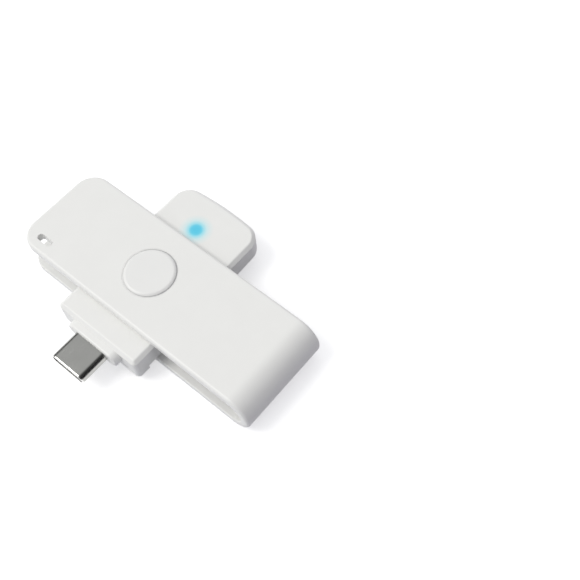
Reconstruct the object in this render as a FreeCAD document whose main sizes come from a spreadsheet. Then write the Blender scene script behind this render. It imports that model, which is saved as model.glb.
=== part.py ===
import FreeCAD, Part
import math
import os
import Sketcher

# Smart card reader: a slab-shaped reader that turns inside a U-shaped cover.
# Millimetres. The cover lies on z = 0 with its fold at +X; the plug points to -Y.
# The turning axis is the Z axis.

doc = FreeCAD.newDocument("card_reader")
sheet = doc.addObject("Spreadsheet::Sheet", "sizes")
rows = []
nodes = []


class Size:
    """A length in mm, with the spreadsheet expression that gives it."""

    def __init__(self, value, text):
        self.value = value
        self.text = text

    def __add__(self, other):
        return Size(self.value + other.value, "(%s + %s)" % (self.text, other.text))

    def __sub__(self, other):
        return Size(self.value - other.value, "(%s - %s)" % (self.text, other.text))

    def __mul__(self, other):
        return Size(self.value * other.value, "(%s * %s)" % (self.text, other.text))

    def __truediv__(self, other):
        return Size(self.value / other.value, "(%s / %s)" % (self.text, other.text))

    def __neg__(self):
        return Size(-self.value, "(-%s)" % self.text)


def size(name, number):
    """Write one driving size into the spreadsheet under its own name."""
    rows.append(name)
    cell = "B%d" % len(rows)
    sheet.set("A%d" % len(rows), name)
    sheet.set(cell, number)
    sheet.setAlias(cell, name)
    return Size(float(number), "sizes." + name)


zero = Size(0.0, "0")
two = Size(2.0, "2")

# Swivel cover
cover_width = size("cover_width", "20.6")
cover_wall = size("cover_wall", "1.9")
lanyard_reach = size("lanyard_reach", "26.6")
fold_reach = size("fold_reach", "33.3")
cover_corner = size("cover_corner", "4.4")
cover_edge = size("cover_edge", "0.7")
cover_inner_edge = size("cover_inner_edge", "0.3")
lanyard_slot_length = size("lanyard_slot_length", "3.7")
lanyard_slot_width = size("lanyard_slot_width", "1.4")
lanyard_slot_inset = size("lanyard_slot_inset", "5.2")
lanyard_slot_side = size("lanyard_slot_side", "2.8")

# Gaps under and over the reader, and the fits of its pieces
card_gap = size("card_gap", "1.0")
swivel_gap = size("swivel_gap", "0.15")
fit_gap = size("fit_gap", "0.05")
pivot_gap = size("pivot_gap", "0.08")

# Pivot
cap_diameter = size("cap_diameter", "10.6")
cap_groove = size("cap_groove", "0.1")
cap_seat = size("cap_seat", "0.95")
seat_edge = size("seat_edge", "0.15")
cap_rise = size("cap_rise", "0.3")
cap_edge = size("cap_edge", "0.35")
cap_play = size("cap_play", "0.05")
boss_diameter = size("boss_diameter", "8.0")
stem_diameter = size("stem_diameter", "4.0")

# Reader case
case_width = size("case_width", "20.6")
case_height = size("case_height", "4.75")
front_reach = size("front_reach", "15.3")
rear_reach = size("rear_reach", "21.15")
rear_bow = size("rear_bow", "0.75")
rear_corner = size("rear_corner", "3.3")
front_corner = size("front_corner", "0.9")
case_edge = size("case_edge", "0.7")
mouth_edge = size("mouth_edge", "0.4")
lip_depth = size("lip_depth", "2.8")
lip_drop = size("lip_drop", "0.85")
case_wall = size("case_wall", "1.2")
front_wall = size("front_wall", "1.2")
roof_wall = size("roof_wall", "1.0")
cavity_corner = size("cavity_corner", "1.0")
collar_width = size("collar_width", "12.9")
collar_height = size("collar_height", "3.7")
collar_depth = size("collar_depth", "1.55")
collar_edge = size("collar_edge", "0.5")

# Base plate
plate_thick = size("plate_thick", "0.9")
window_width = size("window_width", "1.5")
window_length = size("window_length", "5.0")
window_lead = size("window_lead", "1.2")
post_side_inset = size("post_side_inset", "1.55")
post_front_inset = size("post_front_inset", "1.8")
post_rear_inset = size("post_rear_inset", "2.9")
post_diameter = size("post_diameter", "2.4")
pin_diameter = size("pin_diameter", "1.1")
pin_grip = size("pin_grip", "0.8")

# Circuit board
board_thick = size("board_thick", "0.8")
board_gap = size("board_gap", "0.25")
board_setback = size("board_setback", "2.1")
board_corner = size("board_corner", "1.0")

# Plug
plug_rise = size("plug_rise", "2.25")
plug_width = size("plug_width", "8.3")
plug_height = size("plug_height", "2.45")
plug_free = size("plug_free", "6.25")
plug_setback = size("plug_setback", "0.2")
shell_wall = size("shell_wall", "0.25")
shell_edge = size("shell_edge", "0.12")
leg_width = size("leg_width", "0.6")
leg_spread = size("leg_spread", "7.0")
leg_drop = size("leg_drop", "0.22")
leg_length = size("leg_length", "1.7")
leg_lead = size("leg_lead", "0.6")
insulator_recess = size("insulator_recess", "0.4")
insulator_gap = size("insulator_gap", "0.02")
tongue_width = size("tongue_width", "7.1")
tongue_height = size("tongue_height", "1.2")
tongue_depth = size("tongue_depth", "5.2")
row_width = size("row_width", "6.1")
pin_spacing = size("pin_spacing", "0.5")
pin_width = size("pin_width", "0.26")
pin_nose = size("pin_nose", "0.08")
pin_tip_inset = size("pin_tip_inset", "0.9")
pin_tail_length = size("pin_tail_length", "1.4")
latch_thick = size("latch_thick", "0.24")
latch_arm = size("latch_arm", "0.22")
latch_hook = size("latch_hook", "0.3")
latch_length = size("latch_length", "4.4")

# Contact springs and switch
contact_spacing = size("contact_spacing", "2.54")
contact_column = size("contact_column", "7.62")
contact_depth = size("contact_depth", "11.25")
contact_width = size("contact_width", "0.9")
contact_thick = size("contact_thick", "0.15")
contact_drop = size("contact_drop", "0.6")
contact_foot = size("contact_foot", "1.3")
contact_arm = size("contact_arm", "2.6")
contact_pad = size("contact_pad", "0.25")
contact_curl = size("contact_curl", "0.6")
contact_curl_rise = size("contact_curl_rise", "0.45")
contact_bend = size("contact_bend", "0.3")
switch_side = size("switch_side", "4.6")
switch_inset = size("switch_inset", "1.4")
switch_anvil_length = size("switch_anvil_length", "1.0")

# Parts on the circuit board
controller_size = size("controller_size", "5.0")
controller_height = size("controller_height", "0.85")
controller_rear = size("controller_rear", "1.0")
crystal_length = size("crystal_length", "3.2")
crystal_width = size("crystal_width", "2.5")
crystal_height = size("crystal_height", "0.7")
crystal_side = size("crystal_side", "5.4")
led_offset = size("led_offset", "0.8")
led_inset = size("led_inset", "7.8")
led_length = size("led_length", "1.6")
led_width = size("led_width", "0.8")
led_height = size("led_height", "0.6")
light_well = size("light_well", "3.4")
light_window = size("light_window", "0.45")
chip_length = size("chip_length", "1.0")
chip_width = size("chip_width", "0.5")
chip_spacing = size("chip_spacing", "1.1")
capacitor_height = size("capacitor_height", "0.5")
capacitor_rear = size("capacitor_rear", "5.6")
resistor_height = size("resistor_height", "0.35")
resistor_rear = size("resistor_rear", "9.4")

# Counts
pins_per_row = 12
chips_per_row = 6

# Levels above the table and reaches that follow from the sizes
case_base = cover_wall + card_gap
case_top = case_base + case_height
cover_under = case_top + swivel_gap
cover_top = cover_under + cover_wall
fold_radius = cover_top / two
fold_start = fold_reach - fold_radius
plate_top = case_base + plate_thick
roof_under = case_top - roof_wall
boss_top = cover_top - cap_seat + cap_play
plug_level = case_base + plug_rise
board_low = plug_level - board_thick / two
board_top = plug_level + board_thick / two
half_cover = cover_width / two
half_case = case_width / two
rear_side = rear_reach - rear_bow
cavity_side = half_case - case_wall
cavity_front = front_reach - front_wall
cavity_rear = rear_side - case_wall
collar_reach = front_reach + collar_depth
plug_reach = collar_reach + plug_free
board_side = cavity_side - board_gap
board_rear = cavity_rear - board_gap
board_front = cavity_front - board_setback
plug_tail = board_front + plug_setback
leg_reach = plug_tail - leg_length
leg_step = plug_tail - leg_lead
pin_tail_reach = plug_tail - pin_tail_length
post_side = board_side - post_side_inset
post_front = board_front - post_front_inset
post_rear = board_rear - post_rear_inset
led_rear = rear_reach - led_inset
stop_reach = front_reach - lip_depth
column_front = contact_depth - stop_reach
column_rear = column_front + contact_column
tip_low = case_base - contact_drop


def new_body(label):
    """Start one sub-part and put it on the list of parts to write."""
    body = doc.addObject("PartDesign::Body", label)
    body.Label = label
    nodes.append(body)
    return body


def sketch_on(body, name, role, level):
    """Lay a sketch on one of the body's own planes, moved along its normal to a level."""
    sketch = body.newObject("Sketcher::SketchObject", body.Label + "_" + name)
    plane = [item for item in body.Origin.OriginFeatures if item.Role == role][0]
    sketch.AttachmentSupport = (plane, [""])
    sketch.MapMode = "FlatFace"
    sketch.setExpression("AttachmentOffset.Base.z", level.text)
    return sketch


def held(sketch, kind, geometry, point, length):
    """Hold one point of the sketch at a distance from its origin."""
    rule = sketch.addConstraint(Sketcher.Constraint(kind, -1, 1, geometry, point, length.value))
    sketch.setExpression("Constraints[%d]" % rule, length.text)


def arc_between(start, end, radius, turn):
    """The short arc from start to end that turns left (1) or right (-1)."""
    chord = end - start
    rise = math.sqrt(max(radius * radius - chord.Length * chord.Length / 4, 0))
    side = FreeCAD.Vector(-chord.y, chord.x, 0).normalize()
    centre = (start + end) * 0.5 + side * rise * turn
    first, last = (start, end) if turn > 0 else (end, start)
    low = math.atan2(first.y - centre.y, first.x - centre.x)
    high = math.atan2(last.y - centre.y, last.x - centre.x)
    return Part.ArcOfCircle(Part.Circle(centre, FreeCAD.Vector(0, 0, 1), radius), low, high)


def outline(sketch, points):
    """Close a path of lines, and of arcs where a point also has a radius and a turn."""
    pieces = []
    for index, point in enumerate(points):
        last = points[index - 1]
        start = FreeCAD.Vector(last[0].value, last[1].value, 0)
        end = FreeCAD.Vector(point[0].value, point[1].value, 0)
        if len(point) == 2:
            pieces.append((sketch.addGeometry(Part.LineSegment(start, end)), 1, 2))
        else:
            arc = sketch.addGeometry(arc_between(start, end, point[2].value, point[3]))
            pieces.append((arc, 1, 2) if point[3] > 0 else (arc, 2, 1))
    for index, (piece, head, tail) in enumerate(pieces):
        before = pieces[index - 1]
        sketch.addConstraint(Sketcher.Constraint("Coincident", before[0], before[2], piece, head))
    for (piece, head, tail), point in zip(pieces, points):
        held(sketch, "DistanceX", piece, tail, point[0])
        held(sketch, "DistanceY", piece, tail, point[1])
        if len(point) > 2:
            rule = sketch.addConstraint(Sketcher.Constraint("Radius", piece, point[2].value))
            sketch.setExpression("Constraints[%d]" % rule, point[2].text)


def rectangle(sketch, left, right, low, high):
    outline(sketch, [(left, low), (right, low), (right, high), (left, high)])


def round_rectangle(sketch, left, right, low, high, corner):
    outline(sketch, [
        (right - corner, low),
        (right, low + corner, corner, 1),
        (right, high - corner),
        (right - corner, high, corner, 1),
        (left + corner, high),
        (left, high - corner, corner, 1),
        (left, low + corner),
        (left + corner, low, corner, 1),
    ])


def oblong(sketch, half_width, half_height, level):
    """A flat-sided outline with half-round ends, centred on x = 0 at a level."""
    flat = half_width - half_height
    outline(sketch, [
        (flat, level - half_height),
        (half_width, level, half_height, 1),
        (flat, level + half_height, half_height, 1),
        (-flat, level + half_height),
        (-half_width, level, half_height, 1),
        (-flat, level - half_height, half_height, 1),
    ])


def circle(sketch, across, along, diameter):
    centre = FreeCAD.Vector(across.value, along.value, 0)
    radius = diameter / two
    shape = Part.Circle(centre, FreeCAD.Vector(0, 0, 1), radius.value)
    ring = sketch.addGeometry(shape)
    held(sketch, "DistanceX", ring, 3, across)
    held(sketch, "DistanceY", ring, 3, along)
    rule = sketch.addConstraint(Sketcher.Constraint("Radius", ring, radius.value))
    sketch.setExpression("Constraints[%d]" % rule, radius.text)


def grow(body, kind, sketch, length, back, both):
    """Add a pad or a pocket, and see that it changed the volume the right way."""
    before = body.Shape.Volume if body.Tip else 0.0
    feature = body.newObject("PartDesign::" + kind, sketch.Name + "_" + kind.lower())
    feature.Profile = sketch
    feature.setExpression("Length", length.text)
    feature.Reversed = back
    if both:
        feature.SideType = "Symmetric"
    doc.recompute()
    change = body.Shape.Volume - before
    if (change > 0) != (kind == "Pad"):
        raise RuntimeError("%s changes the volume by %.3f" % (feature.Name, change))
    return feature


def pad(body, sketch, length, back=False, both=False):
    return grow(body, "Pad", sketch, length, back, both)


def pocket(body, sketch, length, back=False, both=False):
    return grow(body, "Pocket", sketch, length, back, both)


def dress(body, kind, name, length, wanted):
    """Round or bevel the edges of the body that the test picks."""
    base = body.Tip
    names = ["Edge%d" % (place + 1) for place, edge in enumerate(base.Shape.Edges) if wanted(edge)]
    if not names:
        raise RuntimeError("no edge for " + name)
    feature = body.newObject("PartDesign::" + kind, body.Label + "_" + name)
    feature.Base = (base, names)
    feature.setExpression("Radius" if kind == "Fillet" else "Size", length.text)
    doc.recompute()


def round_edges(body, name, radius, wanted):
    dress(body, "Fillet", name, radius, wanted)


def bevel_edges(body, name, length, wanted):
    dress(body, "Chamfer", name, length, wanted)


tolerance = 0.001


def near(first, second):
    return abs(first - second) < tolerance


def upright(edge):
    return near(edge.BoundBox.XLength, 0) and near(edge.BoundBox.YLength, 0)


def at_level(edge, level):
    return near(edge.BoundBox.ZMin, level.value) and near(edge.BoundBox.ZMax, level.value)


def is_round(edge):
    return hasattr(edge.Curve, "Radius")


def at_depth(edge, along):
    return near(edge.BoundBox.YMin, along.value) and near(edge.BoundBox.YMax, along.value)


# Swivel cover: one white moulding, two flat arms joined by a half-round fold
cover = new_body("swivel_cover")
profile = sketch_on(cover, "profile", "XZ_Plane", zero)
outline(profile, [
    (-lanyard_reach, zero),
    (fold_start, zero),
    (fold_reach, fold_radius, fold_radius, 1),
    (fold_start, cover_top, fold_radius, 1),
    (-lanyard_reach, cover_top),
    (-lanyard_reach, cover_under),
    (fold_start, cover_under),
    (fold_reach - cover_wall, fold_radius, fold_radius - cover_wall, -1),
    (fold_start, cover_wall, fold_radius - cover_wall, -1),
    (-lanyard_reach, cover_wall),
])
pad(cover, profile, cover_width, both=True)
round_edges(cover, "corners", cover_corner, upright)


def on_rim(edge, low, high, radius):
    """True for an edge of the rim at these two levels or round the fold."""
    side = near(abs(edge.BoundBox.Center.y), half_cover.value) and near(edge.BoundBox.YLength, 0)
    bend = side and is_round(edge) and near(edge.Curve.Radius, radius.value)
    flat = at_level(edge, low) or at_level(edge, high)
    inward = edge.BoundBox.YLength < cover_width.value - tolerance or edge.BoundBox.Center.x < 0
    return bend or (flat and inward)


round_edges(cover, "outer_rim", cover_edge, lambda edge: on_rim(edge, zero, cover_top, fold_radius))
bevel_edges(cover, "inner_rim", cover_inner_edge,
            lambda edge: on_rim(edge, cover_wall, cover_under, fold_radius - cover_wall))
seat = sketch_on(cover, "cap_seat", "XY_Plane", cover_top)
circle(seat, zero, zero, cap_diameter + cap_groove * two)
pocket(cover, seat, cap_seat)
bevel_edges(cover, "seat_rim", seat_edge, lambda edge: is_round(edge) and at_level(edge, cover_top))
bore = sketch_on(cover, "pivot_bore", "XY_Plane", cover_top)
circle(bore, zero, zero, boss_diameter + pivot_gap * two)
pocket(cover, bore, cover_wall + swivel_gap)
lanyard = sketch_on(cover, "lanyard_slot", "XY_Plane", cover_top)
slot_x = lanyard_slot_inset - lanyard_reach
slot_y = lanyard_slot_side - half_cover
slot_radius = lanyard_slot_width / two
slot_flat = lanyard_slot_length / two - slot_radius
outline(lanyard, [
    (slot_x + slot_flat, slot_y - slot_radius),
    (slot_x + slot_flat + slot_radius, slot_y, slot_radius, 1),
    (slot_x + slot_flat, slot_y + slot_radius, slot_radius, 1),
    (slot_x - slot_flat, slot_y + slot_radius),
    (slot_x - slot_flat - slot_radius, slot_y, slot_radius, 1),
    (slot_x - slot_flat, slot_y - slot_radius, slot_radius, 1),
])
pocket(cover, lanyard, cover_wall + swivel_gap)

# Upper case: white moulding, open below, with the pivot boss, the plug collar, a light well
# and a lip under its front end
case = new_body("upper_case")
plan = sketch_on(case, "plan", "XY_Plane", case_base)
outline(plan, [
    (-half_case, -front_reach),
    (half_case, -front_reach),
    (half_case, rear_side),
    (-half_case, rear_side, (half_case * half_case + rear_bow * rear_bow) / (rear_bow + rear_bow), 1),
])
pad(case, plan, case_height)
lip = sketch_on(case, "card_stop_lip", "XY_Plane", case_base)
rectangle(lip, -half_case, half_case, -front_reach, -stop_reach)
pad(case, lip, lip_drop, back=True)
round_edges(case, "rear_corners", rear_corner, lambda edge: upright(edge) and edge.BoundBox.Center.y > 0)
round_edges(case, "front_corners", front_corner,
            lambda edge: upright(edge) and near(edge.BoundBox.Center.y, -front_reach.value))
bevel_edges(case, "top_rim", case_edge, lambda edge: at_level(edge, case_top))
mouth_line = rear_side - rear_corner
bevel_edges(case, "mouth", mouth_edge,
            lambda edge: at_level(edge, case_base) and edge.BoundBox.YMin > mouth_line.value - tolerance)
collar = sketch_on(case, "collar", "XZ_Plane", front_reach)
oblong(collar, collar_width / two, collar_height / two, plug_level)
pad(case, collar, collar_depth)
round_edges(case, "collar_rim", collar_edge, lambda edge: at_depth(edge, -collar_reach))
cavity = sketch_on(case, "cavity", "XY_Plane", case_base)
round_rectangle(cavity, -cavity_side, cavity_side, -cavity_front, cavity_rear, cavity_corner)
pocket(case, cavity, case_height - roof_wall, back=True)
opening = sketch_on(case, "plug_opening", "XZ_Plane", collar_reach)
oblong(opening, plug_width / two + fit_gap, plug_height / two + fit_gap, plug_level)
pocket(case, opening, collar_depth + front_wall + fit_gap)
boss = sketch_on(case, "boss", "XY_Plane", case_top)
circle(boss, zero, zero, boss_diameter)
pad(case, boss, boss_top - case_top)
posts = sketch_on(case, "posts", "XY_Plane", roof_under)
for side in (-post_side, post_side):
    circle(posts, side, -post_front, post_diameter)
    circle(posts, side, post_rear, post_diameter)
pad(case, posts, roof_under - board_top, back=True)
sockets = sketch_on(case, "sockets", "XY_Plane", board_top)
for side in (-post_side, post_side):
    circle(sockets, side, -post_front, pin_diameter + fit_gap * two)
    circle(sockets, side, post_rear, pin_diameter + fit_gap * two)
pocket(case, sockets, roof_under - board_top, back=True)
stem_bore = sketch_on(case, "stem_bore", "XY_Plane", boss_top)
circle(stem_bore, zero, zero, stem_diameter + fit_gap * two)
pocket(case, stem_bore, boss_top - roof_under + fit_gap)
well = sketch_on(case, "light_well", "XY_Plane", roof_under)
circle(well, -led_offset, led_rear, light_well)
pocket(case, well, roof_wall - light_window, back=True)

# Base plate: closes the case from below, with the contact windows and four pins
plate = new_body("base_plate")
floor = sketch_on(plate, "floor", "XY_Plane", case_base)
plate_side = cavity_side - fit_gap
plate_front = cavity_front - fit_gap
plate_rear = cavity_rear - fit_gap
round_rectangle(floor, -plate_side, plate_side, -plate_front, plate_rear, cavity_corner)
pad(plate, floor, plate_thick)
shoulders = sketch_on(plate, "shoulders", "XY_Plane", plate_top)
for side in (-post_side, post_side):
    circle(shoulders, side, -post_front, post_diameter)
    circle(shoulders, side, post_rear, post_diameter)
pad(plate, shoulders, board_low - plate_top)
pins = sketch_on(plate, "pins", "XY_Plane", board_low)
for side in (-post_side, post_side):
    circle(pins, side, -post_front, pin_diameter)
    circle(pins, side, post_rear, pin_diameter)
pad(plate, pins, board_thick + pin_grip)
windows = sketch_on(plate, "windows", "XY_Plane", case_base)
contact_columns = (column_front, column_rear)
half_pitch = contact_spacing / two
contact_rows = (-half_pitch - contact_spacing, -half_pitch, half_pitch, half_pitch + contact_spacing)
for along in contact_columns:
    for across in contact_rows:
        rectangle(windows, across - window_width / two, across + window_width / two,
                  along - window_lead, along - window_lead + window_length)
switch_tip = switch_inset - stop_reach
rectangle(windows, -switch_side - window_width / two, -switch_side + window_width / two,
          switch_tip - window_lead, switch_tip - window_lead + window_length)
pocket(plate, windows, plate_thick, back=True)

# Pivot cap: round button that holds the upper arm down on the case
cap = new_body("pivot_cap")
head = sketch_on(cap, "head", "XY_Plane", boss_top)
circle(head, zero, zero, cap_diameter)
cap_top = cover_top + cap_rise
pad(cap, head, cap_top - boss_top)
bevel_edges(cap, "rim", cap_edge, lambda edge: at_level(edge, cap_top))
stem = sketch_on(cap, "stem", "XY_Plane", boss_top)
circle(stem, zero, zero, stem_diameter)
pad(cap, stem, boss_top - roof_under, back=True)

# Circuit board
board = new_body("circuit_board")
sheet_plan = sketch_on(board, "plan", "XY_Plane", board_low)
round_rectangle(sheet_plan, -board_side, board_side, -board_front, board_rear, board_corner)
pad(board, sheet_plan, board_thick)
holes = sketch_on(board, "holes", "XY_Plane", board_top)
for side in (-post_side, post_side):
    circle(holes, side, -post_front, pin_diameter + fit_gap * two)
    circle(holes, side, post_rear, pin_diameter + fit_gap * two)
pocket(board, holes, board_thick)

# Plug shell: drawn steel tube with a rolled mouth and two soldered legs
shell = new_body("plug_shell")
half_plug = plug_width / two
half_thick = plug_height / two
tube = sketch_on(shell, "tube", "XZ_Plane", plug_reach)
oblong(tube, half_plug, half_thick, plug_level)
pad(shell, tube, plug_reach - plug_tail, back=True)
bevel_edges(shell, "mouth", shell_edge, lambda edge: at_depth(edge, -plug_reach))
hollow = sketch_on(shell, "hollow", "XZ_Plane", plug_reach)
oblong(hollow, half_plug - shell_wall, half_thick - shell_wall, plug_level)
pocket(shell, hollow, plug_reach - plug_tail)
for name, side in (("left_leg", -leg_spread / two), ("right_leg", leg_spread / two)):
    leg = sketch_on(shell, name, "YZ_Plane", side)
    leg_high = plug_level + half_thick - leg_drop
    outline(leg, [
        (-plug_tail, leg_high),
        (-plug_tail, leg_high - shell_wall),
        (-leg_step - shell_wall, leg_high - shell_wall),
        (-leg_step - shell_wall, board_top),
        (-leg_reach, board_top),
        (-leg_reach, board_top + shell_wall),
        (-leg_step, board_top + shell_wall),
        (-leg_step, leg_high),
    ])
    pad(shell, leg, leg_width, both=True)

# Plug insulator: fills the shell, open in front for the socket's tongue
insulator = new_body("plug_insulator")
insulator_reach = plug_reach - insulator_recess
block = sketch_on(insulator, "block", "XZ_Plane", insulator_reach)
inner_side = half_plug - shell_wall - insulator_gap
oblong(block, inner_side, half_thick - shell_wall - insulator_gap, plug_level)
pad(insulator, block, insulator_reach - plug_tail, back=True)
mouth = sketch_on(insulator, "mouth", "XZ_Plane", insulator_reach)
half_tongue = tongue_height / two
rectangle(mouth, -tongue_width / two, tongue_width / two, plug_level - half_tongue, plug_level + half_tongue)
pocket(insulator, mouth, tongue_depth)
channels = sketch_on(insulator, "channels", "XZ_Plane", insulator_reach)
rectangle(channels, -row_width / two, row_width / two, board_top, plug_level + half_tongue)
rectangle(channels, -row_width / two, row_width / two, plug_level - half_tongue, board_low)
pocket(insulator, channels, insulator_reach - plug_tail)


def plug_contacts(label, face, back, nose):
    """One row of flat plug contacts that run straight on to the board."""
    row = new_body(label)
    first = -pin_spacing * Size((pins_per_row - 1) / 2, str((pins_per_row - 1) / 2))
    strip = sketch_on(row, "strip", "YZ_Plane", first)
    front = -insulator_reach + pin_tip_inset
    bump = pin_tip_inset / two
    outline(strip, [
        (front, back),
        (-pin_tail_reach, back),
        (-pin_tail_reach, face),
        (front + bump + bump, face),
        (front + bump, nose),
        (front, face),
    ])
    pin = pad(row, strip, pin_width, both=True)
    pattern = row.newObject("PartDesign::LinearPattern", label + "_row")
    pattern.Originals = [pin]
    axis = [item for item in row.Origin.OriginFeatures if item.Role == "X_Axis"][0]
    pattern.Direction = (axis, [""])
    pattern.setExpression("Length", "%s * %d" % (pin_spacing.text, pins_per_row - 1))
    pattern.Occurrences = pins_per_row
    row.Tip = pattern
    doc.recompute()


plug_contacts("plug_contacts_upper", board_top, plug_level + half_tongue, board_top - pin_nose)
plug_contacts("plug_contacts_lower", board_low, plug_level - half_tongue, board_low + pin_nose)

# Plug latch: two flat springs beside the tongue
latch = new_body("plug_latch")
arms = sketch_on(latch, "arms", "XY_Plane", plug_level)
latch_root = tongue_depth - insulator_reach
latch_tip = latch_root - latch_length
latch_out = tongue_width / two
latch_in = latch_out - latch_arm
latch_nose = latch_in - latch_hook
hook_end = latch_tip + latch_hook + latch_hook
outline(arms, [
    (latch_out, latch_tip), (latch_out, latch_root), (latch_in, latch_root),
    (latch_in, hook_end), (latch_nose, latch_tip + latch_hook), (latch_in, latch_tip),
])
outline(arms, [
    (-latch_out, latch_tip), (-latch_in, latch_tip), (-latch_nose, latch_tip + latch_hook),
    (-latch_in, hook_end), (-latch_in, latch_root), (-latch_out, latch_root),
])
pad(latch, arms, latch_thick, both=True)


def spring(label, across, along):
    """A flat spring: foot on the board, arm down through its window, curled tip below the case."""
    body = new_body(label)
    strip = sketch_on(body, "strip", "YZ_Plane", zero)
    path = [
        (contact_pad + contact_arm + contact_foot, board_low - contact_thick),
        (contact_pad + contact_arm, board_low - contact_thick),
        (contact_pad, tip_low),
        (-contact_pad, tip_low),
        (-contact_pad - contact_curl, tip_low + contact_curl_rise),
    ]
    back = [(point[0], point[1] + contact_thick) for point in reversed(path)]
    outline(strip, path + back)
    pad(body, strip, contact_width, both=True)
    bends = [contact_pad + contact_arm, contact_pad, -contact_pad]
    round_edges(body, "bends", contact_bend, lambda edge: near(edge.BoundBox.XLength, contact_width.value)
                and any(at_depth(edge, bend) for bend in bends))
    body.setExpression("Placement.Base.x", across.text)
    body.setExpression("Placement.Base.y", along.text)
    doc.recompute()


# Contact springs: eight, gold plated, in two columns
spring_places = [(across, along) for along in contact_columns for across in contact_rows]
for number, (across, along) in enumerate(spring_places, 1):
    spring("card_contact_%d" % number, across, along)

# Switch: a spring blade behind the front lip and the fixed contact above its tip
spring("switch_blade", -switch_side, switch_tip)
anvil = new_body("switch_contact")
anvil_plan = sketch_on(anvil, "plan", "XY_Plane", board_low)
half_anvil = switch_anvil_length / two
rectangle(anvil_plan, -switch_side - contact_width / two, -switch_side + contact_width / two,
          switch_tip - half_anvil, switch_tip + half_anvil)
pad(anvil, anvil_plan, contact_thick, back=True)


def block_on_board(label, across, along, length, width, height):
    """A square-edged part soldered flat on the board's upper face."""
    body = new_body(label)
    plan = sketch_on(body, "plan", "XY_Plane", board_top)
    rectangle(plan, across - length / two, across + length / two, along - width / two, along + width / two)
    return body, pad(body, plan, height)


# Parts on the board's upper face
block_on_board("reader_controller", zero, controller_rear, controller_size, controller_size,
               controller_height)
block_on_board("crystal", crystal_side, controller_rear, crystal_length, crystal_width, crystal_height)
block_on_board("status_led", -led_offset, led_rear, led_length, led_width, led_height)


def chip_row(label, along, height):
    """A row of equal small chips."""
    first = -chip_spacing * Size((chips_per_row - 1) / 2, str((chips_per_row - 1) / 2))
    body, chip = block_on_board(label, first, along, chip_width, chip_length, height)
    pattern = body.newObject("PartDesign::LinearPattern", label + "_row")
    pattern.Originals = [chip]
    axis = [item for item in body.Origin.OriginFeatures if item.Role == "X_Axis"][0]
    pattern.Direction = (axis, [""])
    pattern.setExpression("Length", "%s * %d" % (chip_spacing.text, chips_per_row - 1))
    pattern.Occurrences = chips_per_row
    body.Tip = pattern
    doc.recompute()


chip_row("capacitors", capacitor_rear, capacitor_height)
chip_row("resistors", resistor_rear, resistor_height)

# Checks and files
doc.recompute()
for item in doc.Objects:
    if "Invalid" in item.State or "Error" in item.State:
        raise RuntimeError("%s is in error" % item.Name)
os.makedirs("parts", exist_ok=True)
for body in nodes:
    if body.Shape.isNull() or not body.Shape.isValid():
        raise RuntimeError("%s has no valid shape" % body.Label)
    body.Shape.exportStep("parts/%s.step" % body.Label)
    print(body.Label, len(body.Shape.Solids), round(body.Shape.Volume, 2))
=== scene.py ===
import math
import bmesh
import bpy
from mathutils import Euler, Matrix, Vector


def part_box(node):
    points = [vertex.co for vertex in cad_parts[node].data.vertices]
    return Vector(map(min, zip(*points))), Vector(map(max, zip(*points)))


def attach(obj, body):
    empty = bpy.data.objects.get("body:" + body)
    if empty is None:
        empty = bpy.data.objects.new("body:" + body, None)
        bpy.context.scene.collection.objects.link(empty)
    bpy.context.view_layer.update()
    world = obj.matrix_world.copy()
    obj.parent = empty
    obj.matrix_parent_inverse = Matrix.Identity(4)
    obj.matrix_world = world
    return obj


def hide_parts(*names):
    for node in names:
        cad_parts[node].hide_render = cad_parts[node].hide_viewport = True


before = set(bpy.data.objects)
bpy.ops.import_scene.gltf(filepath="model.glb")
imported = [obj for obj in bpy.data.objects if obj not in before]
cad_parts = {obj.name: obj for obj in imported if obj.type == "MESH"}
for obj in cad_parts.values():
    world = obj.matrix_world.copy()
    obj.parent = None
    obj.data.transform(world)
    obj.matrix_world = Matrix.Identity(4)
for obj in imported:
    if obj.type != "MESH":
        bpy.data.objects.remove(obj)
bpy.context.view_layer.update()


# Circuit board: a thin glass-epoxy laminate, routed to shape and held on the base plate's four pins.
# A green solder mask covers it, satin and finely grained.
def feed(tree, socket, source):
    """Link an input to another node's output, or give it a value."""
    if isinstance(source, bpy.types.NodeSocket):
        tree.links.new(source, socket)
    else:
        socket.default_value = source


def feed_all(tree, node, **sources):
    """Feed a node's named inputs; an underscore stands for the space in a name."""
    for name, source in sources.items():
        feed(tree, node.inputs[name.replace("_", " ")], source)


def add_node(tree, kind, settings=None, **sources):
    """One shader node with its settings, its named inputs fed."""
    node = tree.nodes.new("ShaderNode" + kind)
    for name, value in (settings or {}).items():
        setattr(node, name, value)
    feed_all(tree, node, **sources)
    return node


def reckon(tree, operation, *sources, kind="Math"):
    """The value that a Math or VectorMath node makes of its inputs, which are fed in order."""
    node = add_node(tree, kind, {"operation": operation})
    for socket, source in zip(node.inputs, sources):
        feed(tree, socket, source)
    return node.outputs["Value"]


def toned(tree, colour, tone):
    """A colour times a tone."""
    return add_node(tree, "VectorMath", {"operation": "SCALE"}, Vector=colour, Scale=tone).outputs["Vector"]


def new_group(name, inputs, outputs):
    """An empty shader group with its named sockets, the values put into it, and its end node."""
    group = bpy.data.node_groups.new(name, "ShaderNodeTree")
    for side, sockets in (("INPUT", inputs), ("OUTPUT", outputs)):
        for socket, kind in sockets.items():
            group.interface.new_socket(socket, in_out=side, socket_type="NodeSocket" + kind)
    return group, group.nodes.new("NodeGroupInput").outputs, group.nodes.new("NodeGroupOutput")


def new_material(name):
    """A node material."""
    material = bpy.data.materials.new(name)
    material.use_nodes = True
    return material


def principled(material):
    """A material's shader."""
    return material.node_tree.nodes["Principled BSDF"]


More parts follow.
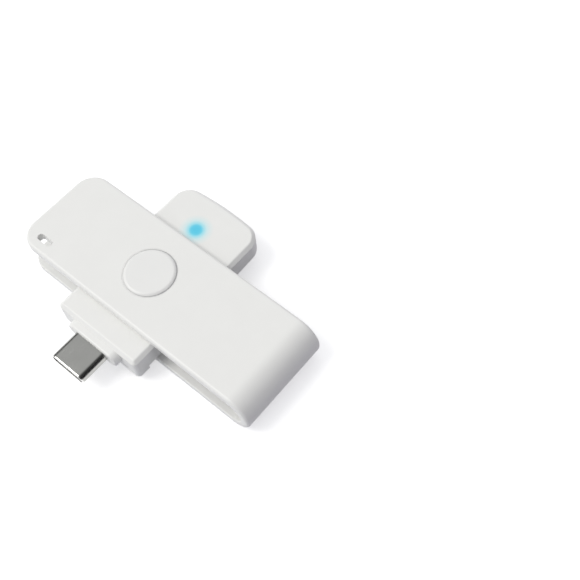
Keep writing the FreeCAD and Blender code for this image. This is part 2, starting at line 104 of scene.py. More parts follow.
def surfaced(name, effect_group, bump_depth, **values):
    """A material whose colour, gloss and bump come from an effect group with its own values."""
    material = new_material(name)
    tree = material.node_tree
    effect = add_node(tree, "Group", {"node_tree": effect_group}, **values)
    bump = add_node(tree, "Bump", Strength=1.0, Distance=bump_depth, Height=effect.outputs["Height"])
    feed_all(tree, principled(material), Base_Color=effect.outputs["Colour"],
             Roughness=effect.outputs["Roughness"], Normal=bump.outputs["Normal"])
    return material


def stray_out(group, group_in, group_out, stray, height):
    """Let tone and gloss stray as far as Spread allows, and put them out with the bump's height."""
    reach = reckon(group, "MULTIPLY", stray, group_in["Spread"])
    gloss = reckon(group, "ADD", group_in["Roughness"], reach)
    tone = reckon(group, "ADD", reach, 1.0)
    feed_all(group, group_out, Colour=toned(group, group_in["Colour"], tone), Roughness=gloss, Height=height)


# Moulded grain: fine bumps from the tool, and slow changes of tone and gloss.
# Spread is how far tone and gloss stray from their middle.
noise_middle = 0.5
grain_group, grain_in, grain_out = new_group(
    "Moulded Grain",
    {"Colour": "Color", "Roughness": "Float", "Spread": "Float", "Fineness": "Float"},
    {"Colour": "Color", "Roughness": "Float", "Height": "Float"})
grain_place = add_node(grain_group, "TexCoord").outputs["Object"]
grain_fine = add_node(grain_group, "TexNoise", Vector=grain_place, Scale=grain_in["Fineness"],
                      Detail=3.0, Roughness=0.6).outputs["Fac"]
grain_slow = add_node(grain_group, "TexNoise", Vector=grain_place, Scale=260.0,
                      Detail=2.0, Roughness=0.5).outputs["Fac"]
grain_stray = reckon(grain_group, "SUBTRACT", grain_slow, noise_middle)
stray_out(grain_group, grain_in, grain_out, grain_stray, grain_fine)


def grained(name, colour, roughness, spread, fineness, bump_depth):
    """A material with the moulded grain."""
    return surfaced(name, grain_group, bump_depth, Colour=(*colour, 1.0), Roughness=roughness,
                    Spread=spread, Fineness=fineness)


def dress(node, material):
    """Give a CAD node its material."""
    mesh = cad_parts[node].data
    mesh.materials.clear()
    mesh.materials.append(material)


solder_mask = grained("solder_mask", colour=(0.02, 0.16, 0.06), roughness=0.38, spread=0.12,
                      fineness=3200.0, bump_depth=2e-6)
principled(solder_mask).inputs["Coat Weight"].default_value = 0.3
dress("circuit_board", solder_mask)

# Controller, crystal, chips and light: bought parts soldered flat on the board.
# Black epoxy, a plated lid, brown ceramic, coated film and pale resin that glows.
dress("reader_controller", grained("black_epoxy", colour=(0.018, 0.018, 0.02), roughness=0.55, spread=0.15,
                                   fineness=5200.0, bump_depth=4e-6))
dress("capacitors", grained("brown_ceramic", colour=(0.26, 0.15, 0.08), roughness=0.6, spread=0.2,
                            fineness=4000.0, bump_depth=3e-6))
dress("resistors", grained("coated_film", colour=(0.02, 0.02, 0.022), roughness=0.45, spread=0.15,
                           fineness=4000.0, bump_depth=2e-6))
light_resin = grained("light_resin", colour=(0.35, 0.80, 0.95), roughness=0.2, spread=0.08,
                      fineness=3000.0, bump_depth=1e-6)
principled(light_resin).inputs["Emission Color"].default_value = (0.12, 0.62, 0.9, 1.0)
principled(light_resin).inputs["Emission Strength"].default_value = 1.0
dress("status_led", light_resin)

# Drawn metal: fine streaks along Y, the way the strip went through the die.
# Streaks and slow clouds change tone and gloss, and the streaks lift the surface by a hair.
drawn_group, drawn_in, drawn_out = new_group(
    "Drawn Metal",
    {"Colour": "Color", "Roughness": "Float", "Spread": "Float"},
    {"Colour": "Color", "Roughness": "Float", "Height": "Float"})
drawn_place = add_node(drawn_group, "TexCoord").outputs["Object"]
drawn_stretch = add_node(drawn_group, "Mapping", Vector=drawn_place,
                         Scale=(9000.0, 260.0, 9000.0)).outputs["Vector"]
drawn_streaks = add_node(drawn_group, "TexNoise", Vector=drawn_stretch, Scale=1.0,
                         Detail=3.0, Roughness=0.6).outputs["Fac"]
drawn_clouds = add_node(drawn_group, "TexNoise", Vector=drawn_place, Scale=420.0,
                        Detail=2.0, Roughness=0.5).outputs["Fac"]
drawn_both = reckon(drawn_group, "ADD", drawn_streaks, drawn_clouds)
drawn_stray = reckon(drawn_group, "SUBTRACT", drawn_both, 2 * noise_middle)
stray_out(drawn_group, drawn_in, drawn_out, drawn_stray, drawn_streaks)


def drawn_metal(name, colour, roughness, spread, bump_depth):
    """A metal with the drawn streaks."""
    material = surfaced(name, drawn_group, bump_depth, Colour=(*colour, 1.0), Roughness=roughness,
                        Spread=spread)
    principled(material).inputs["Metallic"].default_value = 1.0
    return material


dress("crystal", drawn_metal("plated_lid", colour=(0.62, 0.61, 0.58), roughness=0.3, spread=0.2,
                             bump_depth=1e-6))

# Contact springs and switch: stamped from copper alloy strip and gold plated.
# Their feet are soldered under the board, and the springs' curled tips hang below the case.
gold_plate = drawn_metal("gold_plate", colour=(0.83, 0.60, 0.25), roughness=0.28, spread=0.2,
                         bump_depth=1e-6)
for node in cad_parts:
    if node.startswith(("card_contact", "switch_")):
        dress(node, gold_plate)

# Plug inside: a black resin insulator with two rows of gold contacts and two latch springs.
# It is pushed into the shell from behind.
dress("plug_insulator", grained("black_resin", colour=(0.02, 0.02, 0.021), roughness=0.5, spread=0.15,
                                fineness=4200.0, bump_depth=3e-6))
dress("plug_contacts_upper", gold_plate)
dress("plug_contacts_lower", gold_plate)
dress("plug_latch", drawn_metal("spring_steel", colour=(0.46, 0.46, 0.45), roughness=0.3, spread=0.2,
                                bump_depth=1e-6))

# Plug shell: a drawn stainless tube with half-round sides and a rolled mouth, whose bright rim is a painted
# highlight.
# Two bent legs at its tail are soldered to the board.
mm_per_metre = 1000.0
margin = 0.01
hair = 0.001
plan_weld = 0.004
quarter_turn = math.radians(90.0)
sharp_turn = math.radians(35.0)


def box_mm(node):
    """The lowest and highest corners of a CAD node, in millimetres, the unit of the pieces' shapes."""
    low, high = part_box(node)
    return low * mm_per_metre, high * mm_per_metre


def new_plan(width, length):
    """A flat rectangle round the origin, from a square of size one."""
    shape = bmesh.new()
    bmesh.ops.create_grid(shape, x_segments=1, y_segments=1, size=0.5)
    bmesh.ops.scale(shape, vec=(width, length, 1.0), verts=shape.verts)
    return shape


def round_corners(shape, corners, radius, steps):
    """Round the corners of a flat plan."""
    bmesh.ops.bevel(shape, geom=corners, offset=radius, offset_type="OFFSET", segments=steps, profile=0.5,
                    affect="VERTICES", material=-1)
    bmesh.ops.remove_doubles(shape, verts=shape.verts, dist=plan_weld)


def new_oblong(width, height, steps):
    """A flat plan with two half-round sides."""
    shape = new_plan(width, height)
    round_corners(shape, shape.verts[:], height / 2 - hair, steps)
    return shape


def grown_parts(grown, kind):
    """The new vertices, edges or faces of an extrusion."""
    return [item for item in grown["geom"] if isinstance(item, kind)]


def raise_plan(shape, height):
    """Extrude a flat plan upwards into a closed block."""
    grown = bmesh.ops.extrude_face_region(shape, geom=shape.faces[:])
    bmesh.ops.translate(shape, vec=(0.0, 0.0, height), verts=grown_parts(grown, bmesh.types.BMVert))
    bmesh.ops.recalc_face_normals(shape, faces=shape.faces[:])


def edges_where(shape, test):
    """The edges whose two ends both pass a test of their place."""
    return [edge for edge in shape.edges if all(test(vert.co) for vert in edge.verts)]


def ease(shape, test, width, steps):
    """Round the edges whose ends pass a test, or bevel them with one step."""
    bmesh.ops.bevel(shape, geom=edges_where(shape, test), offset=width, offset_type="OFFSET", segments=steps,
                    profile=0.5, affect="EDGES", clamp_overlap=True, material=-1)


def lay_forward(shape, along, level):
    """Turn a block that stands on the floor plane so that it points to -Y."""
    bmesh.ops.rotate(shape, cent=(0.0, 0.0, 0.0), matrix=Matrix.Rotation(quarter_turn, 3, "X"),
                     verts=shape.verts)
    bmesh.ops.translate(shape, vec=(0.0, along, level), verts=shape.verts)


def show_piece(name, shape, material, body, node):
    """Put a finished shape in its CAD node's place, in metres, with clean shading."""
    bmesh.ops.scale(shape, vec=[1.0 / mm_per_metre] * 3, verts=shape.verts)
    mesh = bpy.data.meshes.new(name)
    shape.to_mesh(mesh)
    shape.free()
    mesh.materials.append(material)
    mesh.shade_smooth()
    mesh.set_sharp_from_angle(angle=sharp_turn)
    piece = bpy.data.objects.new(name, mesh)
    bpy.context.scene.collection.objects.link(piece)
    shading = piece.modifiers.new("even_shading", "WEIGHTED_NORMAL")
    shading.keep_sharp = True
    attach(piece, body)
    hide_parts(node)


plug_low, plug_high = box_mm("plug_shell")
plug_width = plug_high.x - plug_low.x
plug_height = plug_high.z - plug_low.z
plug_level = (plug_low.z + plug_high.z) / 2
plug_tail = -12.2
plug_wall = 0.25
plug_roll = 0.2
plug_nose = 0.4
leg_spread = 7.0
leg_width = 0.6
leg_drop = 0.345
leg_moves = ((0.0, 0.725, 0.0), (0.0, 0.0, -0.455), (0.0, 0.975, 0.0))
mouth_painted_highlight = (0.82, 0.82, 0.80, 1.0)

tube = new_oblong(plug_width, plug_height, steps=12)
tube_hole = tube.faces[:]
bmesh.ops.inset_region(tube, faces=tube_hole, thickness=plug_wall, use_boundary=True, use_even_offset=True)
bmesh.ops.delete(tube, geom=tube_hole, context="FACES")
tube_block = plug_tail - plug_low.y - plug_nose + plug_roll
side_run = (plug_width - plug_height) / 2
raise_plan(tube, tube_block)


def on_mouth_rim(place):
    """True on the outer edge of the tube's mouth."""
    outward = math.hypot(max(abs(place.x) - side_run, 0.0), place.y)
    return place.z > tube_block - margin and outward > plug_height / 2 - plug_wall / 2


ease(tube, on_mouth_rim, plug_roll, steps=6)
for vert in tube.verts:
    vert.co.z += max(vert.co.z - tube_block + plug_roll, 0.0) * (plug_nose / plug_roll - 1.0)
lay_forward(tube, plug_tail, plug_level)
for side in (-leg_spread / 2, leg_spread / 2):
    leg_root = [tube.verts.new((side + half, plug_tail, plug_high.z - leg_drop))
                for half in (-leg_width / 2, leg_width / 2)]
    leg_edge = tube.edges.new(leg_root)
    leg_faces = []
    for move in leg_moves:
        grown = bmesh.ops.extrude_edge_only(tube, edges=[leg_edge])
        leg_tip = grown_parts(grown, bmesh.types.BMVert)
        bmesh.ops.translate(tube, vec=move, verts=leg_tip)
        leg_faces += grown_parts(grown, bmesh.types.BMFace)
        leg_edge = [edge for edge in grown_parts(grown, bmesh.types.BMEdge)
                    if all(vert in leg_tip for vert in edge.verts)][0]
    bmesh.ops.solidify(tube, geom=leg_faces, thickness=plug_wall)
bmesh.ops.recalc_face_normals(tube, faces=tube.faces[:])


def source_of(shader, name):
    """The output that feeds one of a shader's inputs."""
    return shader.inputs[name].links[0].from_socket


def mix_colours(tree, factor, first, second, blend="MIX"):
    """The mix of two colours; a Mix node has several sockets of one name, told apart by identifier."""
    node = add_node(tree, "Mix", {"data_type": "RGBA", "blend_type": blend}, Factor=factor)
    inputs = {socket.identifier: socket for socket in node.inputs}
    outputs = {socket.identifier: socket for socket in node.outputs}
    feed(tree, inputs["A_Color"], first)
    feed(tree, inputs["B_Color"], second)
    return outputs["Result_Color"]


plug_steel = drawn_metal("plug_steel", colour=(0.475, 0.475, 0.455), roughness=0.26, spread=0.05,
                         bump_depth=4e-7)
steel_tree = plug_steel.node_tree
steel_base = source_of(principled(plug_steel), "Base Color")
# The front part of the mouth is given a bright colour: a painted highlight along the rolled rim.
mouth_place = add_node(steel_tree, "TexCoord").outputs["Object"]
mouth_along = add_node(steel_tree, "SeparateXYZ", Vector=mouth_place).outputs["Y"]
mouth_highlight_share = add_node(steel_tree, "MapRange", Value=mouth_along,
                        From_Min=(plug_low.y + plug_nose) / mm_per_metre,
                        From_Max=(plug_low.y + plug_nose / 2) / mm_per_metre).outputs["Result"]
steel_colour_with_painted_highlight = mix_colours(steel_tree, mouth_highlight_share, steel_base, mouth_painted_highlight)
feed_all(steel_tree, principled(plug_steel), Base_Color=steel_colour_with_painted_highlight)

# Rubbed edges and painted sheen: where hands and table touch, edges turn glossier and greyer on plastic; on
# steel they are made brighter, partly wear and partly a painted highlight.
# An edge is where a small bevel would turn the surface, and noise breaks the wear into patches.
edge_wear_and_sheen_group, rubbed_in, rubbed_out = new_group(
    "Edge Wear And Painted Sheen",
    {"Colour": "Color", "Roughness": "Float", "Reach": "Float", "Tone": "Float", "Gloss": "Float"},
    {"Colour": "Color", "Roughness": "Float"})
rubbed_round = add_node(edge_wear_and_sheen_group, "Bevel", {"samples": 6}, Radius=rubbed_in["Reach"]).outputs["Normal"]
rubbed_face = add_node(edge_wear_and_sheen_group, "NewGeometry").outputs["Normal"]
rubbed_turn = reckon(edge_wear_and_sheen_group, "DOT_PRODUCT", rubbed_round, rubbed_face, kind="VectorMath")
rubbed_edge = add_node(edge_wear_and_sheen_group, "MapRange", Value=rubbed_turn,
                       From_Min=0.995, From_Max=0.88).outputs["Result"]
rubbed_place = add_node(edge_wear_and_sheen_group, "TexCoord").outputs["Object"]
rubbed_noise = add_node(edge_wear_and_sheen_group, "TexNoise", Vector=rubbed_place, Scale=700.0,
                        Detail=3.0, Roughness=0.6).outputs["Fac"]
rubbed_patch = add_node(edge_wear_and_sheen_group, "MapRange", Value=rubbed_noise,
                        From_Min=0.38, From_Max=0.62).outputs["Result"]
rubbed_amount = reckon(edge_wear_and_sheen_group, "MULTIPLY", rubbed_edge, rubbed_patch)
wear_and_sheen_tone = add_node(edge_wear_and_sheen_group, "MapRange", Value=rubbed_amount,
                       To_Min=1.0, To_Max=rubbed_in["Tone"]).outputs["Result"]
rubbed_gloss = reckon(edge_wear_and_sheen_group, "MULTIPLY_ADD", rubbed_amount, rubbed_in["Gloss"], rubbed_in["Roughness"])
feed_all(edge_wear_and_sheen_group, rubbed_out, Colour=toned(edge_wear_and_sheen_group, rubbed_in["Colour"], wear_and_sheen_tone),
         Roughness=rubbed_gloss)


def wear_and_sheen_edges(material, reach, tone, gloss):
    """Pass a material's colour and gloss through the rubbed edges; a tone above one paints a highlight on
    them.
    """
    tree, shader = material.node_tree, principled(material)
    rubbed = add_node(tree, "Group", {"node_tree": edge_wear_and_sheen_group}, Reach=reach, Tone=tone, Gloss=gloss,
                      Colour=source_of(shader, "Base Color"), Roughness=source_of(shader, "Roughness"))
    feed_all(tree, shader, Base_Color=rubbed.outputs["Colour"], Roughness=rubbed.outputs["Roughness"])


# On the steel the brighter edges are partly wear and partly a painted highlight along the mouth's rim.
wear_and_sheen_edges(plug_steel, reach=0.0002, tone=1.15, gloss=-0.08)
show_piece("plug_tube", tube, plug_steel, body="reader", node="plug_shell")

# Base plate: white moulded lid that closes the reader from below and carries the board on its pins.
# It has a spark-eroded finish and a window for each spring.
plate_white = grained("plate_white", colour=(0.80, 0.80, 0.785), roughness=0.5, spread=0.03,
                      fineness=5200.0, bump_depth=5e-6)
wear_and_sheen_edges(plate_white, reach=0.0003, tone=0.94, gloss=-0.1)
dress("base_plate", plate_white)


# Upper case: white moulded shell, bevelled round the top, with a collar for the plug and a lip below it.
# Its roof is thin over the light; the light's round blue spot on it is painted, as a blue colour and a
# painted glow.
# The pivot boss stands on the roof, and four posts below it take the base plate's pins.
def cylinder(shape, places, diameter, low, high, segments=64):
    """Add upright round bars to a shape."""
    for across, along in places:
        middle = Matrix.Translation((across, along, (low + high) / 2))
        bmesh.ops.create_cone(shape, cap_ends=True, segments=segments, radius1=diameter / 2,
                              radius2=diameter / 2, depth=high - low, matrix=middle)


def joined(shape, *steps):
    """The shape with other shapes added to it or cut out of it, one after the other."""
    helpers = []
    for index, (operation, tool) in enumerate((("NONE", shape),) + steps):
        mesh = bpy.data.meshes.new("tool")
        tool.to_mesh(mesh)
        tool.free()
        helper = bpy.data.objects.new("tool", mesh)
        bpy.context.scene.collection.objects.link(helper)
        helpers.append(helper)
        if index:
            step = helpers[0].modifiers.new("step", "BOOLEAN")
            step.operation = operation
            step.solver = "EXACT"
            step.object = helper
    graph = bpy.context.evaluated_depsgraph_get()
    result_mesh = bpy.data.meshes.new_from_object(helpers[0].evaluated_get(graph))
    result = bmesh.new()
    result.from_mesh(result_mesh)
    for helper in helpers:
        bpy.data.meshes.remove(helper.data)
    bpy.data.meshes.remove(result_mesh)
    bmesh.ops.remove_doubles(result, verts=result.verts, dist=hair)
    return result


case_low, case_high = box_mm("upper_case")
case_width = case_high.x - case_low.x
lip_drop = 0.85
lip_depth = 2.8
case_base = case_low.z + lip_drop
case_height = 4.75
case_top = case_base + case_height
case_front = -15.3
rear_bow = 0.75
rear_side = case_high.y - rear_bow
rear_corner = 3.3
front_corner = 0.9
case_bevel = 0.7
case_soft = 0.41
mouth_bevel = 0.4
case_wall = 1.2
roof_wall = 1.0
cavity_corner = 1.0
collar_width = 12.9
collar_height = 3.7
collar_front = -16.85
collar_edge = 0.5
plug_play = 0.1
opening_depth = 5.0
pivot_place = (0.0, 0.0)
boss_width = 8.0
stem_bore = 4.1
post_places = [(across, along) for across in (-7.3, 7.3) for along in (-10.2, 16.05)]
post_width = 2.4
socket_width = 1.2
board_top = 5.55
light_place = Vector((-0.8, 13.35))
light_well = 3.4
light_window = 0.45
overshoot = 0.5

case = new_plan(case_width, rear_side - case_front)
bmesh.ops.translate(case, vec=(0.0, (rear_side + case_front) / 2, case_base), verts=case.verts)
round_corners(case, [vert for vert in case.verts if vert.co.y < 0], front_corner, steps=6)
round_corners(case, [vert for vert in case.verts if vert.co.y > rear_side - margin], rear_corner, steps=14)
rear_edge = edges_where(case, lambda place: place.y > rear_side - margin)
bmesh.ops.subdivide_edges(case, edges=rear_edge, cuts=23)
for vert in case.verts:
    if vert.co.y > rear_side - rear_corner:
        vert.co.y += rear_bow * (1.0 - (vert.co.x / case_high.x) ** 2)
raise_plan(case, case_height)
ease(case, lambda place: place.z > case_top - margin, case_bevel, steps=1)
ease(case, lambda place: place.z > case_top - margin, case_soft, steps=4)
ease(case, lambda place: place.z < case_base + margin and place.y > rear_side - rear_corner - margin,
     mouth_bevel, steps=1)

lip = new_plan(case_width, lip_depth)
round_corners(lip, [vert for vert in lip.verts if vert.co.y < 0], front_corner, steps=6)
raise_plan(lip, lip_drop)
bmesh.ops.translate(lip, vec=(0.0, case_front + lip_depth / 2, case_low.z), verts=lip.verts)

collar = new_oblong(collar_width, collar_height, steps=14)
collar_root = case_front + case_wall / 2
collar_length = collar_root - collar_front
raise_plan(collar, collar_length)
ease(collar, lambda place: place.z > collar_length - margin, collar_edge, steps=4)
lay_forward(collar, collar_root, plug_level)

cavity_front = case_front + case_wall
cavity_rear = rear_side - case_wall
cavity = new_plan(case_width - 2 * case_wall, cavity_rear - cavity_front)
round_corners(cavity, cavity.verts[:], cavity_corner, steps=6)
raise_plan(cavity, case_height)
bmesh.ops.translate(cavity, vec=(0.0, (cavity_front + cavity_rear) / 2, case_base - roof_wall),
                    verts=cavity.verts)

opening = new_oblong(plug_width + plug_play, plug_height + plug_play, steps=12)
raise_plan(opening, opening_depth)
lay_forward(opening, cavity_front + overshoot, plug_level)

boss = bmesh.new()
cylinder(boss, [pivot_place], boss_width, case_top - roof_wall / 2, case_high.z)
posts = bmesh.new()
cylinder(posts, post_places, post_width, board_top, case_top - roof_wall / 2)
bores = bmesh.new()
cylinder(bores, post_places, socket_width, board_top - overshoot, case_top - roof_wall)
cylinder(bores, [pivot_place], stem_bore, case_top - roof_wall - overshoot, case_high.z + overshoot)
cylinder(bores, [light_place], light_well, case_top - roof_wall - overshoot, case_top - light_window)
case = joined(case, ("UNION", collar), ("DIFFERENCE", cavity), ("DIFFERENCE", opening), ("UNION", lip),
              ("UNION", boss), ("UNION", posts), ("DIFFERENCE", bores))


def ramp(tree, place, stops):
    """A smooth colour ramp with its stops of place and colour."""
    node = add_node(tree, "ValToRGB", Fac=place)
    colours = node.color_ramp
    colours.interpolation = "B_SPLINE"
    for element in colours.elements[1:]:
        colours.elements.remove(element)
    for index, (stop, colour) in enumerate(stops):
        element = colours.elements[0] if index == 0 else colours.elements.new(stop)
        element.position = stop
        element.color = (*colour, 1.0)
    return node.outputs["Color"]


# Painted light: around the light's place the base colour turns blue and the surface glows, set by distance
# alone.
spot_middle = Vector((*light_place, case_top)) / mm_per_metre
spot_reach = 0.0038
painted_light_tints = ((0.0, (0.08, 0.57, 0.80)), (0.26, (0.08, 0.58, 0.82)), (0.38, (0.32, 0.79, 0.92)),
              (0.58, (0.82, 0.96, 0.985)), (0.88, (1.0, 1.0, 1.0)), (1.0, (1.0, 1.0, 1.0)))
painted_glows = ((0.0, (0.03, 0.13, 0.17)), (0.30, (0.03, 0.12, 0.15)), (0.58, (0.0, 0.03, 0.04)),
              (0.88, (0.0, 0.0, 0.0)), (1.0, (0.0, 0.0, 0.0)))
case_white = grained("case_white", colour=(0.86, 0.86, 0.84), roughness=0.36, spread=0.03,
                     fineness=5200.0, bump_depth=3e-6)
wear_and_sheen_edges(case_white, reach=0.0003, tone=0.95, gloss=-0.08)
case_tree, case_shader = case_white.node_tree, principled(case_white)
spot_place = add_node(case_tree, "TexCoord").outputs["Object"]
spot_distance = reckon(case_tree, "DISTANCE", spot_place, spot_middle, kind="VectorMath")
spot_share = reckon(case_tree, "DIVIDE", spot_distance, spot_reach)
painted_light_tint = ramp(case_tree, spot_share, painted_light_tints)
painted_glow = ramp(case_tree, spot_share, painted_glows)
case_colour_with_painted_light = mix_colours(case_tree, factor=1.0, first=source_of(case_shader, "Base Color"),
                          second=painted_light_tint, blend="MULTIPLY")
feed_all(case_tree, case_shader, Base_Color=case_colour_with_painted_light, Emission_Color=painted_glow, Emission_Strength=1.0)
show_piece("case_moulding", case, case_white, body="reader", node="upper_case")

# Swivel cover: one white U-shaped moulding, two flat arms and a half-round fold.
# Its upper arm carries the pivot in a round seat and has a slot for a lanyard.
# It is shaped here as a flat strip with eased rims, and the strip is then bent.
cover_low, cover_high = box_mm("swivel_cover")
cover_wall = 1.9
cover_corner = 4.4
cover_outer_edge = 0.7
cover_inner_edge = 0.3
fold_cuts = 48
cut_weld = 0.0001
seat_width = 10.8
seat_depth = 0.95
seat_edge = 0.08
pivot_bore = 8.16
slot_length = 3.7
slot_width = 1.4
slot_place = Vector((-21.4, -7.5, 0.0))

fold_radius = cover_high.z / 2
fold_start = cover_high.x - fold_radius
arm_length = fold_start - cover_low.x
fold_length = math.pi * fold_radius
cover = new_plan(2 * arm_length + fold_length, cover_high.y - cover_low.y)
bmesh.ops.translate(cover, vec=(arm_length + fold_length / 2, 0.0, 0.0), verts=cover.verts)
round_corners(cover, cover.verts[:], cover_corner, steps=16)
raise_plan(cover, cover_wall)
ease(cover, lambda place: place.z < margin, cover_outer_edge, steps=6)
ease(cover, lambda place: place.z > cover_wall - margin, cover_inner_edge, steps=3)
for cut in range(fold_cuts + 1):
    cut_place = (arm_length + fold_length * cut / fold_cuts, 0.0, 0.0)
    bmesh.ops.bisect_plane(cover, geom=cover.verts[:] + cover.edges[:] + cover.faces[:], dist=cut_weld,
                           plane_co=cut_place, plane_no=(1.0, 0.0, 0.0))
for vert in cover.verts:
    along, across, depth = vert.co
    past_fold = along - arm_length - fold_length
    if along <= arm_length:
        vert.co = (cover_low.x + along, across, cover_high.z - depth)
    elif past_fold < 0:
        turn = (along - arm_length) / fold_radius
        vert.co = (fold_start + (fold_radius - depth) * math.sin(turn), across,
                   fold_radius + (fold_radius - depth) * math.cos(turn))
    else:
        vert.co = (fold_start - past_fold, across, depth)
bmesh.ops.recalc_face_normals(cover, faces=cover.faces[:])

arm_under = cover_high.z - cover_wall
seat = bmesh.new()
cylinder(seat, [pivot_place], seat_width, cover_high.z - seat_depth, cover_high.z + 2 * overshoot)
bore = bmesh.new()
cylinder(bore, [pivot_place], pivot_bore, arm_under - 2 * overshoot, cover_high.z + overshoot)
slot = new_oblong(slot_length, slot_width, steps=10)
raise_plan(slot, cover_wall + 4 * overshoot)
bmesh.ops.translate(slot, vec=slot_place + Vector((0.0, 0.0, arm_under - 2 * overshoot)), verts=slot.verts)
cover = joined(cover, ("DIFFERENCE", seat), ("DIFFERENCE", bore), ("DIFFERENCE", slot))


def on_arm_rim(place):
    """True on the upper rim of the seat or of the lanyard slot."""
    at_seat = place.xy.length < seat_width / 2 + margin
    at_slot = (place.x < slot_place.x + slot_length / 2 + margin
               and abs(place.y - slot_place.y) < slot_width / 2 + margin)
    return place.z > cover_high.z - hair and (at_seat or at_slot)


ease(cover, on_arm_rim, seat_edge, steps=3)
cover_white = grained("cover_white", colour=(0.86, 0.86, 0.84), roughness=0.36, spread=0.03,
                      fineness=5200.0, bump_depth=3e-6)
wear_and_sheen_edges(cover_white, reach=0.0004, tone=0.95, gloss=-0.08)
show_piece("cover_moulding", cover, cover_white, body="cover", node="swivel_cover")

# Pivot cap: white moulded button with a rounded rim, its stem pressed and glued into the case's boss.
# It sits in the round seat of the cover's upper arm with a thin, stepped groove round it.
cap_low, cap_high = box_mm("pivot_cap")
cap_under = 8.8
cap_step = 9.68
cap_foot = 5.38
cap_radius = 5.12
cap_edge = 0.31
cap_run = 0.62
stem_radius = 2.0
level_normal = 0.9
cap = bmesh.new()
cylinder(cap, [pivot_place], 2 * cap_foot, cap_under, cap_step, segments=96)
for upward, radius, rise in ((1, cap_radius, cap_high.z - cap_step),
                             (-1, stem_radius, cap_low.z - cap_under)):
    cap_end = [face for face in cap.faces if face.normal.z * upward > level_normal]
    bmesh.ops.inset_region(cap, faces=cap_end, thickness=cap_foot - radius, use_even_offset=True)
    grown = bmesh.ops.extrude_face_region(cap, geom=cap_end)
    bmesh.ops.translate(cap, vec=(0.0, 0.0, rise), verts=grown_parts(grown, bmesh.types.BMVert))
ease(cap, lambda place: place.z > cap_high.z - margin, cap_edge, steps=8)
for vert in cap.verts:
    if vert.co.z > cap_high.z - cap_edge + hair:
        reach = vert.co.xy.length
        inward = (cap_radius - reach) / cap_edge
        vert.co.xy *= (cap_radius - inward * cap_run) / reach
        vert.co.z = cap_high.z - cap_edge * (1.0 - inward) ** 2
bmesh.ops.recalc_face_normals(cap, faces=cap.faces[:])
cap_white = grained("cap_white", colour=(0.85, 0.85, 0.835), roughness=0.34, spread=0.03,
                    fineness=5200.0, bump_depth=2e-6)
wear_and_sheen_edges(cap_white, reach=0.0003, tone=0.95, gloss=-0.08)
show_piece("pivot_button", cap, cap_white, body="reader", node="pivot_cap")

# Floor: a plain white sheet, in metres, that runs out of sight and takes the part's soft shadow.
# To the camera, to gloss and through clear pieces it is lifted to paper white.
# The light that it throws back on the part is weaker towards the fold's side.
floor_size = 4.0
floor_near = (0.48, 0.49, 0.54, 1.0)
floor_far = (0.30, 0.285, 0.34, 1.0)
floor_seen = (0.78, 0.78, 0.79, 1.0)
floor_lift = 0.5
floor_turn = (0.8, 0.6, 0.0)
floor_fade = 0.03
floor_sheet = new_plan(floor_size, floor_size)
floor_mesh = bpy.data.meshes.new("floor_sheet")
floor_sheet.to_mesh(floor_mesh)
floor_sheet.free()
floor = bpy.data.objects.new("floor", floor_mesh)
bpy.context.scene.collection.objects.link(floor)
floor_white = new_material("floor_white")
floor_tree = floor_white.node_tree
floor_rays = add_node(floor_tree, "LightPath").outputs
floor_direct = reckon(floor_tree, "MAXIMUM", floor_rays["Is Camera Ray"], floor_rays["Is Glossy Ray"])
floor_shown = reckon(floor_tree, "MAXIMUM", floor_direct, floor_rays["Is Transmission Ray"])
floor_place = add_node(floor_tree, "TexCoord").outputs["Object"]
floor_side = reckon(floor_tree, "DOT_PRODUCT", floor_place, floor_turn, kind="VectorMath")
floor_bounce = add_node(floor_tree, "MapRange", {"interpolation_type": "SMOOTHSTEP"}, Value=floor_side,
                        From_Min=0.0, From_Max=floor_fade).outputs["Result"]
floor_tone = mix_colours(floor_tree, floor_bounce, floor_near, floor_far)
floor_base = mix_colours(floor_tree, floor_shown, floor_tone, floor_seen)
floor_glow = reckon(floor_tree, "MULTIPLY", floor_shown, floor_lift)
feed_all(floor_tree, principled(floor_white), Base_Color=floor_base, Roughness=0.9, Specular_IOR_Level=0.0,
         Emission_Color=(1.0, 1.0, 1.0, 1.0), Emission_Strength=floor_glow)
floor_mesh.materials.append(floor_white)

# Studio: a white room that is darker and cooler on the fold's side, and one large soft lamp.
# In gloss the room shows a bright window at the left, dark on the fold's side and dimmer overhead.
# The lamp hangs at the front left, well above the part.
sky_dark_side = Vector((0.75, 0.05, -0.6)).normalized()
sky_fade = (-0.25, 0.65)
sky_bright_tint = (0.975, 0.985, 1.0, 1.0)
sky_dark_tint = (0.90, 0.86, 1.0, 1.0)
sky_clear_tint = (1.0, 1.0, 1.0, 1.0)
window_levels = ((0.0, 0.1), (0.08, 0.1), (0.14, 1.0), (0.22, 1.0), (0.46, 1.0), (0.58, 0.03), (1.0, 0.03))
world = bpy.data.worlds.new("studio")
bpy.context.scene.world = world
world.use_nodes = True
sky_tree = world.node_tree
sky_place = add_node(sky_tree, "TexCoord").outputs["Generated"]
sky_side = reckon(sky_tree, "DOT_PRODUCT", sky_place, sky_dark_side, kind="VectorMath")


def sky_level(bright, dark):
    """A level that goes over from the room's bright side to the fold's side."""
    return add_node(sky_tree, "MapRange", {"interpolation_type": "SMOOTHSTEP"}, Value=sky_side,
                    From_Min=sky_fade[0], From_Max=sky_fade[1], To_Min=bright, To_Max=dark).outputs["Result"]


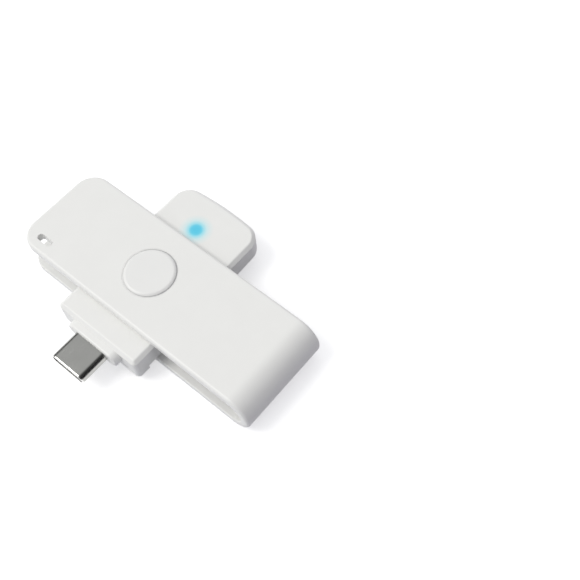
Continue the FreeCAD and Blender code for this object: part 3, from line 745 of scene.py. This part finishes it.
sky_rays = add_node(sky_tree, "LightPath").outputs
sky_axes = add_node(sky_tree, "SeparateXYZ", Vector=sky_place).outputs
sky_rim = add_node(sky_tree, "MapRange", Value=sky_axes["Z"], From_Min=0.1, From_Max=0.6,
                   To_Min=1.0, To_Max=0.6).outputs["Result"]
sky_across = add_node(sky_tree, "MapRange", Value=sky_axes["X"], From_Min=-1.0).outputs["Result"]
sky_window = ramp(sky_tree, sky_across, [(stop, (level, level, level)) for stop, level in window_levels])
sky_shine = reckon(sky_tree, "MULTIPLY", sky_rim, sky_window)
sky_gloss = add_node(sky_tree, "Mix", {"data_type": "FLOAT"}, Factor=sky_rays["Is Glossy Ray"],
                     A=sky_level(bright=0.74, dark=0.09), B=sky_shine).outputs["Result"]
sky_clear = reckon(sky_tree, "MAXIMUM", sky_rays["Is Camera Ray"], sky_rays["Is Transmission Ray"])
sky_strength = add_node(sky_tree, "Mix", {"data_type": "FLOAT"}, Factor=sky_clear,
                        A=sky_gloss, B=1.0).outputs["Result"]
sky_tint = mix_colours(sky_tree, sky_level(bright=0.0, dark=1.0), sky_bright_tint, sky_dark_tint)
sky_colour = mix_colours(sky_tree, sky_clear, sky_tint, sky_clear_tint)
feed_all(sky_tree, sky_tree.nodes["Background"], Color=sky_colour, Strength=sky_strength)

lamp_data = bpy.data.lights.new("soft_lamp", "AREA")
lamp_data.shape = "DISK"
lamp_data.size = 0.8
lamp_data.energy = 9.0
lamp_data.color = (1.0, 0.985, 0.945)
lamp = bpy.data.objects.new("soft_lamp", lamp_data)
lamp.location = (-0.6, -0.6, 1.25)
lamp.rotation_euler = (-lamp.location).to_track_quat("-Z", "Y").to_euler()
bpy.context.scene.collection.objects.link(lamp)

# Camera: from the right of the plug and well above, as in the photograph.
# Its place, turn and lens were fitted to the reader's own lines and points.
camera_turn = (29.26, 2.645, 39.859)
camera_data = bpy.data.cameras.new("camera")
camera_data.sensor_width = 36.0
camera_data.lens = 54.39
camera_data.clip_start = 0.01
camera = bpy.data.objects.new("camera", camera_data)
camera.location = (0.07934, -0.04328, 0.15166)
camera.rotation_euler = Euler([math.radians(turn) for turn in camera_turn])
bpy.context.scene.collection.objects.link(camera)
bpy.context.scene.camera = camera

bpy.context.scene.view_settings.view_transform = "Standard"
